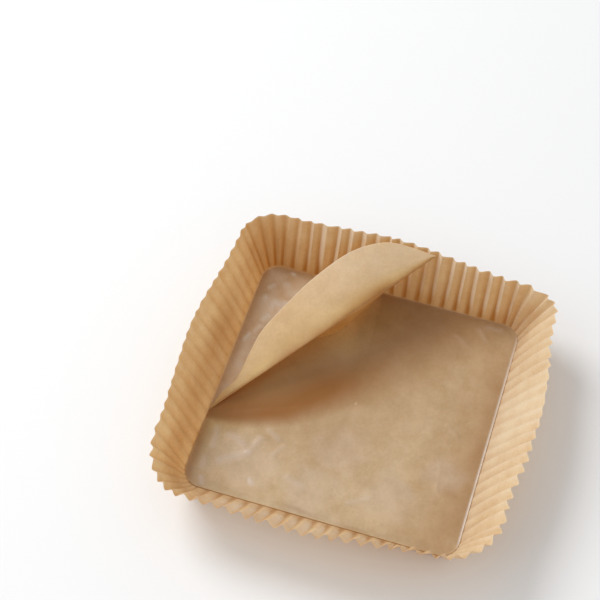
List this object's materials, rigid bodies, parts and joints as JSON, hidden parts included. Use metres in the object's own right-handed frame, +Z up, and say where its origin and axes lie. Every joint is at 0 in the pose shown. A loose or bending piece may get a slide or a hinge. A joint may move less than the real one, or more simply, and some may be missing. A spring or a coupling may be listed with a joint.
{
  "type": "air fryer paper liner",
  "caption": "Square pleated parchment basket liner with rounded corners and flared walls, and a loose inner sheet folded up at one back corner.",
  "frame": {"origin": "middle of the flat floor's underside, on the surface the liner stands on", "axes": "+Z up out of the open top, +X to the right side, -Y to the front side, whose wall splays most; the folded sheet corner is at the back left"},
  "size_m": [0.2058, 0.2046, 0.0402],
  "materials": {
    "tray_paper": "greaseproof parchment, thin, slightly shiny and translucent",
    "sheet_paper": "greaseproof parchment, smooth, slightly shiny and translucent"
  },
  "bodies": {
    "root": {"pleated_tray": "tray_paper", "inner_sheet": "sheet_paper"}
  },
  "joints": []
}
